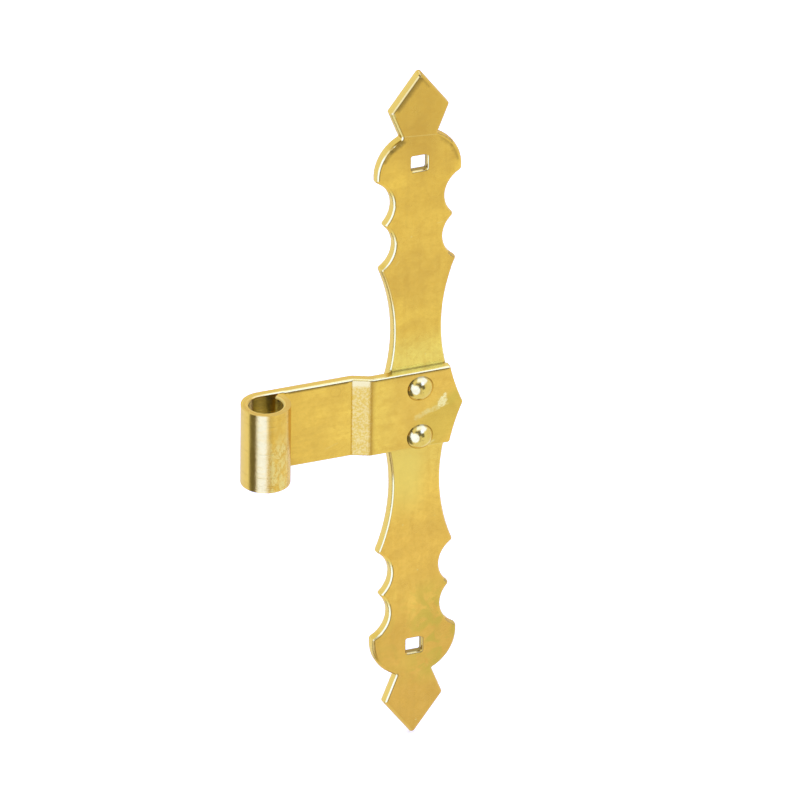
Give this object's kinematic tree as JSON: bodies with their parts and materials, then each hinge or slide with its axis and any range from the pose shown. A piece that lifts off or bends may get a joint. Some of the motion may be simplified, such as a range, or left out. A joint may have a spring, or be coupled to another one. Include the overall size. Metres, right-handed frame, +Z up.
{
  "type": "tee hinge",
  "caption": "Cross-shaped strap hinge: an ornamental pressed plate with a stepped arm riveted across it, rolled into an eye for a hinge pin.",
  "frame": {"origin": "on the axis of the rolled eye, half way up the arm", "axes": "+Z up along the plate and the eye, +Y towards the wood that the hinge is bolted to, +X from the eye to the plate"},
  "size_m": [0.0947, 0.02, 0.3012],
  "materials": {
    "plate_zinc": "yellow zinc plating on steel, satin and mottled",
    "arm_zinc": "yellow zinc plating on steel, satin, brighter on the rolled eye",
    "rivet_zinc": "yellow zinc plating on steel, glossy"
  },
  "bodies": {
    "root": {"ornamental_plate": "plate_zinc", "eye_arm": "arm_zinc", "upper_rivet": "rivet_zinc", "lower_rivet": "rivet_zinc"}
  },
  "joints": []
}
